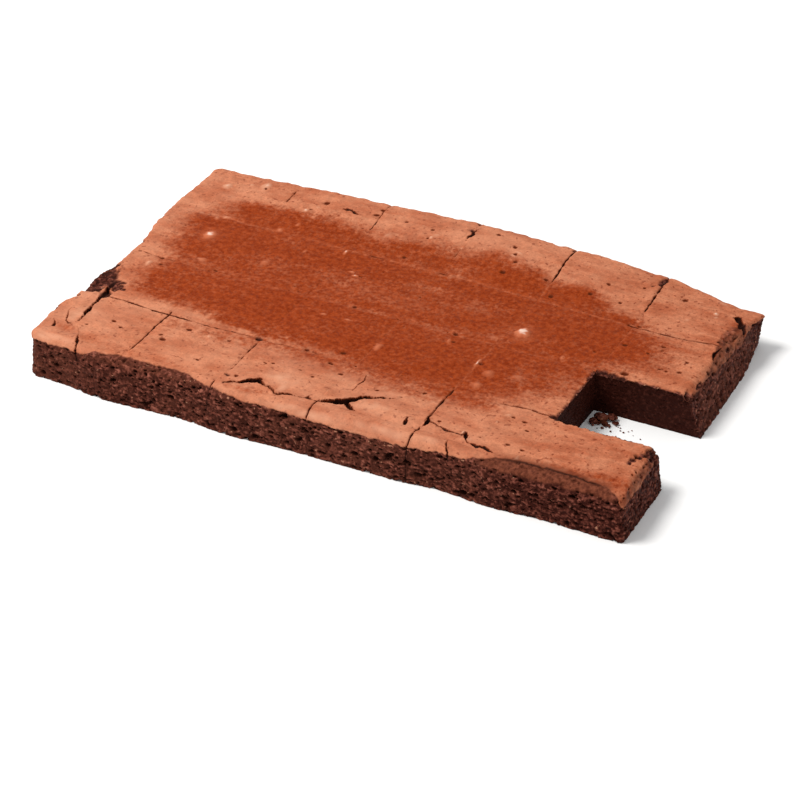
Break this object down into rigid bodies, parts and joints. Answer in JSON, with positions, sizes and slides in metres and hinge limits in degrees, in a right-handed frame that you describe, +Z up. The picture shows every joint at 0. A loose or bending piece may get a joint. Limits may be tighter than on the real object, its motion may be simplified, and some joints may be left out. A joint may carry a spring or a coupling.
{
  "type": "chocolate brownie",
  "caption": "Low tray-baked chocolate brownie slab scored right through into portions, with one portion taken out of an end.",
  "frame": {"origin": "middle of the box's lowest face, on the surface that the slab lies on", "axes": "+X along the slab's length towards the end with the missing portion, +Y from the front edge to the back edge, +Z up"},
  "size_m": [0.4312, 0.2654, 0.0376],
  "materials": {
    "brownie": "Baked chocolate sponge: a thin satin milk-brown crust on top, darker and moister in the middle, over open-pored, nearly black-brown matt crumb at the sides."
  },
  "bodies": {
    "root": {"portion_r1_c1": "brownie", "portion_r1_c2": "brownie", "portion_r1_c3": "brownie", "portion_r1_c4": "brownie", "portion_r1_c5": "brownie", "portion_r1_c6": "brownie", "portion_r2_c1": "brownie", "portion_r2_c2": "brownie", "portion_r2_c3": "brownie", "portion_r2_c4": "brownie", "portion_r2_c5": "brownie", "portion_r3_c1": "brownie", "portion_r3_c2": "brownie", "portion_r3_c3": "brownie", "portion_r3_c4": "brownie", "portion_r3_c5": "brownie", "portion_r3_c6": "brownie", "portion_r4_c1": "brownie", "portion_r4_c2": "brownie", "portion_r4_c3": "brownie", "portion_r4_c4": "brownie", "portion_r4_c5": "brownie", "portion_r4_c6": "brownie"}
  },
  "joints": []
}
